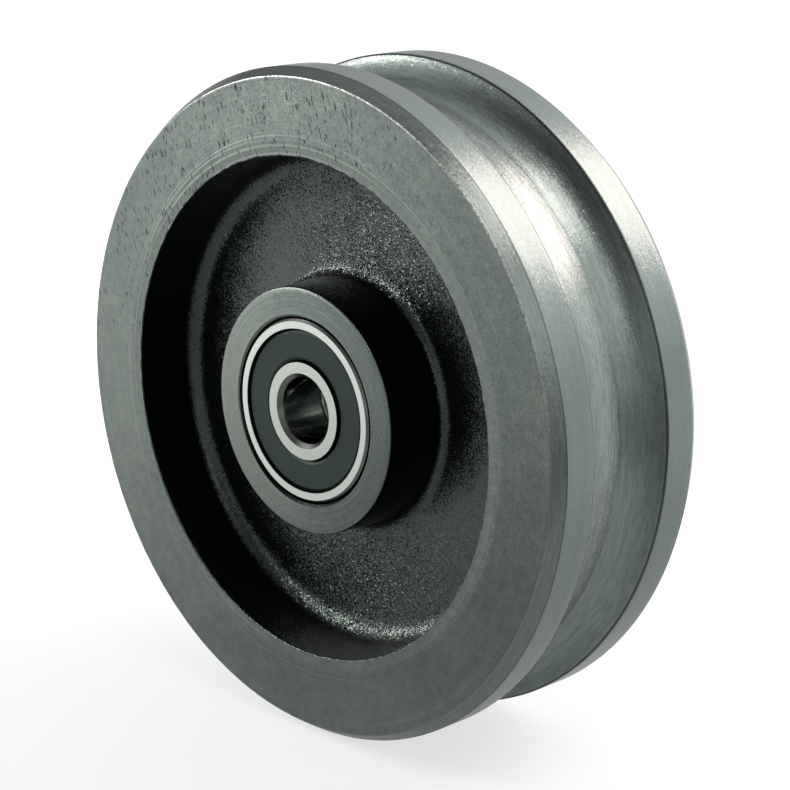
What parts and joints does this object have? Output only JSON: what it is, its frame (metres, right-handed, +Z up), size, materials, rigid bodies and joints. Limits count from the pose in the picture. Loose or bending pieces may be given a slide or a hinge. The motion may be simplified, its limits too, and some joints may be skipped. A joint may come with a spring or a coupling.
{
  "type": "grooved pipe-track wheel",
  "caption": "Cast-iron wheel with a round tread groove that runs on a pipe track, turning on sealed ball bearings with a plain axle bore.",
  "frame": {"origin": "centre of the wheel, on the axle line at the middle of its width", "axes": "+Y along the axle towards the rear face, +Z up; the face in the picture looks along -Y"},
  "size_m": [0.15, 0.045, 0.15],
  "materials": {
    "cast_iron": "turned bare on the rim, tread and hub faces, black paint over the sand-cast web and hub sides",
    "bearing_steel": "ground",
    "ball_steel": "lapped bright",
    "cage_steel": "pressed sheet",
    "seal_rubber": "moulded, satin",
    "spacer_steel": "turned"
  },
  "bodies": {
    "axle_side": {"front_inner_ring": "bearing_steel", "rear_inner_ring": "bearing_steel", "bearing_spacer": "spacer_steel"},
    "wheel": {"wheel_casting": "cast_iron", "front_outer_ring": "bearing_steel", "front_outside_seal": "seal_rubber", "front_inside_seal": "seal_rubber", "rear_outer_ring": "bearing_steel", "rear_outside_seal": "seal_rubber", "rear_inside_seal": "seal_rubber"},
    "front_cage": {"front_outside_cage_half": "cage_steel", "front_inside_cage_half": "cage_steel", "front_cage_rivets": "cage_steel"},
    "front_ball_1": {"front_ball_1": "ball_steel"},
    "front_ball_2": {"front_ball_2": "ball_steel"},
    "front_ball_3": {"front_ball_3": "ball_steel"},
    "front_ball_4": {"front_ball_4": "ball_steel"},
    "front_ball_5": {"front_ball_5": "ball_steel"},
    "front_ball_6": {"front_ball_6": "ball_steel"},
    "front_ball_7": {"front_ball_7": "ball_steel"},
    "rear_cage": {"rear_outside_cage_half": "cage_steel", "rear_inside_cage_half": "cage_steel", "rear_cage_rivets": "cage_steel"},
    "rear_ball_1": {"rear_ball_1": "ball_steel"},
    "rear_ball_2": {"rear_ball_2": "ball_steel"},
    "rear_ball_3": {"rear_ball_3": "ball_steel"},
    "rear_ball_4": {"rear_ball_4": "ball_steel"},
    "rear_ball_5": {"rear_ball_5": "ball_steel"},
    "rear_ball_6": {"rear_ball_6": "ball_steel"},
    "rear_ball_7": {"rear_ball_7": "ball_steel"}
  },
  "joints": [
    {"name": "wheel_spin", "type": "hinge", "parent": "axle_side", "child": "wheel", "pos_m": [0, 0, 0], "axis": [0, 1, 0], "continuous": true},
    {"name": "front_cage_orbit", "type": "hinge", "parent": "axle_side", "child": "front_cage", "pos_m": [0, -0.0156, 0], "axis": [0, 1, 0], "continuous": true},
    {"name": "front_ball_1_roll", "type": "hinge", "parent": "front_cage", "child": "front_ball_1", "pos_m": [0, -0.0156, 0.01425], "axis": [0, 1, 0], "continuous": true},
    {"name": "front_ball_2_roll", "type": "hinge", "parent": "front_cage", "child": "front_ball_2", "pos_m": [0.01114, -0.0156, 0.00888], "axis": [0, 1, 0], "continuous": true},
    {"name": "front_ball_3_roll", "type": "hinge", "parent": "front_cage", "child": "front_ball_3", "pos_m": [0.01389, -0.0156, -0.00317], "axis": [0, 1, 0], "continuous": true},
    {"name": "front_ball_4_roll", "type": "hinge", "parent": "front_cage", "child": "front_ball_4", "pos_m": [0.00618, -0.0156, -0.01284], "axis": [0, 1, 0], "continuous": true},
    {"name": "front_ball_5_roll", "type": "hinge", "parent": "front_cage", "child": "front_ball_5", "pos_m": [-0.00618, -0.0156, -0.01284], "axis": [0, 1, 0], "continuous": true},
    {"name": "front_ball_6_roll", "type": "hinge", "parent": "front_cage", "child": "front_ball_6", "pos_m": [-0.01389, -0.0156, -0.00317], "axis": [0, 1, 0], "continuous": true},
    {"name": "front_ball_7_roll", "type": "hinge", "parent": "front_cage", "child": "front_ball_7", "pos_m": [-0.01114, -0.0156, 0.00888], "axis": [0, 1, 0], "continuous": true},
    {"name": "rear_cage_orbit", "type": "hinge", "parent": "axle_side", "child": "rear_cage", "pos_m": [0, 0.0156, 0], "axis": [0, 1, 0], "continuous": true},
    {"name": "rear_ball_1_roll", "type": "hinge", "parent": "rear_cage", "child": "rear_ball_1", "pos_m": [0, 0.0156, 0.01425], "axis": [0, 1, 0], "continuous": true},
    {"name": "rear_ball_2_roll", "type": "hinge", "parent": "rear_cage", "child": "rear_ball_2", "pos_m": [0.01114, 0.0156, 0.00888], "axis": [0, 1, 0], "continuous": true},
    {"name": "rear_ball_3_roll", "type": "hinge", "parent": "rear_cage", "child": "rear_ball_3", "pos_m": [0.01389, 0.0156, -0.00317], "axis": [0, 1, 0], "continuous": true},
    {"name": "rear_ball_4_roll", "type": "hinge", "parent": "rear_cage", "child": "rear_ball_4", "pos_m": [0.00618, 0.0156, -0.01284], "axis": [0, 1, 0], "continuous": true},
    {"name": "rear_ball_5_roll", "type": "hinge", "parent": "rear_cage", "child": "rear_ball_5", "pos_m": [-0.00618, 0.0156, -0.01284], "axis": [0, 1, 0], "continuous": true},
    {"name": "rear_ball_6_roll", "type": "hinge", "parent": "rear_cage", "child": "rear_ball_6", "pos_m": [-0.01389, 0.0156, -0.00317], "axis": [0, 1, 0], "continuous": true},
    {"name": "rear_ball_7_roll", "type": "hinge", "parent": "rear_cage", "child": "rear_ball_7", "pos_m": [-0.01114, 0.0156, 0.00888], "axis": [0, 1, 0], "continuous": true}
  ],
  "couplings": [
    {"joint": "front_cage_orbit", "follows": "wheel_spin", "ratio": 0.63926},
    {"joint": "front_ball_1_roll", "follows": "wheel_spin", "ratio": 1.6559},
    {"joint": "front_ball_2_roll", "follows": "wheel_spin", "ratio": 1.6559},
    {"joint": "front_ball_3_roll", "follows": "wheel_spin", "ratio": 1.6559},
    {"joint": "front_ball_4_roll", "follows": "wheel_spin", "ratio": 1.6559},
    {"joint": "front_ball_5_roll", "follows": "wheel_spin", "ratio": 1.6559},
    {"joint": "front_ball_6_roll", "follows": "wheel_spin", "ratio": 1.6559},
    {"joint": "front_ball_7_roll", "follows": "wheel_spin", "ratio": 1.6559},
    {"joint": "rear_cage_orbit", "follows": "wheel_spin", "ratio": 0.63926},
    {"joint": "rear_ball_1_roll", "follows": "wheel_spin", "ratio": 1.6559},
    {"joint": "rear_ball_2_roll", "follows": "wheel_spin", "ratio": 1.6559},
    {"joint": "rear_ball_3_roll", "follows": "wheel_spin", "ratio": 1.6559},
    {"joint": "rear_ball_4_roll", "follows": "wheel_spin", "ratio": 1.6559},
    {"joint": "rear_ball_5_roll", "follows": "wheel_spin", "ratio": 1.6559},
    {"joint": "rear_ball_6_roll", "follows": "wheel_spin", "ratio": 1.6559},
    {"joint": "rear_ball_7_roll", "follows": "wheel_spin", "ratio": 1.6559}
  ]
}
